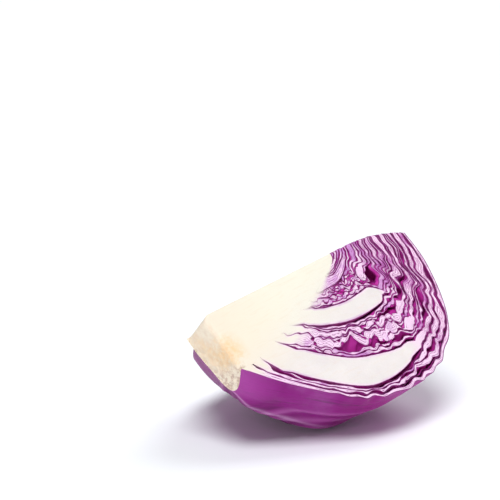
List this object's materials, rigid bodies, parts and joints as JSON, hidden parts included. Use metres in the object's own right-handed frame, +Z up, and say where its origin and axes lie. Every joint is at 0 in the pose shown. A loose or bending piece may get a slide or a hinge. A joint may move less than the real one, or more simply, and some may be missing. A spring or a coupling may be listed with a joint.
{
  "type": "red cabbage wedge",
  "caption": "Quarter wedge of a red cabbage head, cut through its stem: nested purple leaves with white ribs round a pale core, lying on its round outer leaf.",
  "frame": {"origin": "middle of the small flat spot on the outermost leaf's rib, where the wedge rests on a level surface", "axes": "+Z up; +X level, along the core from the cut stem to the crown; the near cut face looks towards -Y and up"},
  "size_m": [0.1405, 0.1126, 0.0857],
  "materials": {
    "core": "moist cream white flesh, cut",
    "skin_leaf": "smooth waxy purple leaf with pale veins",
    "inner_leaf": "crisp leaf, white flesh between purple skins"
  },
  "bodies": {
    "root": {"core": "core", "leaf_01": "skin_leaf", "leaf_02": "inner_leaf", "leaf_03": "inner_leaf", "leaf_04": "inner_leaf", "leaf_05": "inner_leaf", "leaf_06": "inner_leaf", "leaf_07": "inner_leaf", "leaf_08": "inner_leaf", "leaf_09": "inner_leaf", "leaf_10": "inner_leaf", "leaf_11": "inner_leaf", "leaf_12": "inner_leaf", "leaf_13": "inner_leaf", "leaf_14": "inner_leaf", "leaf_15": "inner_leaf", "leaf_16": "inner_leaf", "leaf_17": "inner_leaf", "leaf_18": "inner_leaf", "leaf_19": "inner_leaf", "leaf_20": "inner_leaf", "leaf_21": "inner_leaf", "leaf_22": "inner_leaf", "leaf_23": "inner_leaf", "leaf_24": "inner_leaf", "leaf_25": "inner_leaf", "leaf_26": "inner_leaf"}
  },
  "joints": []
}
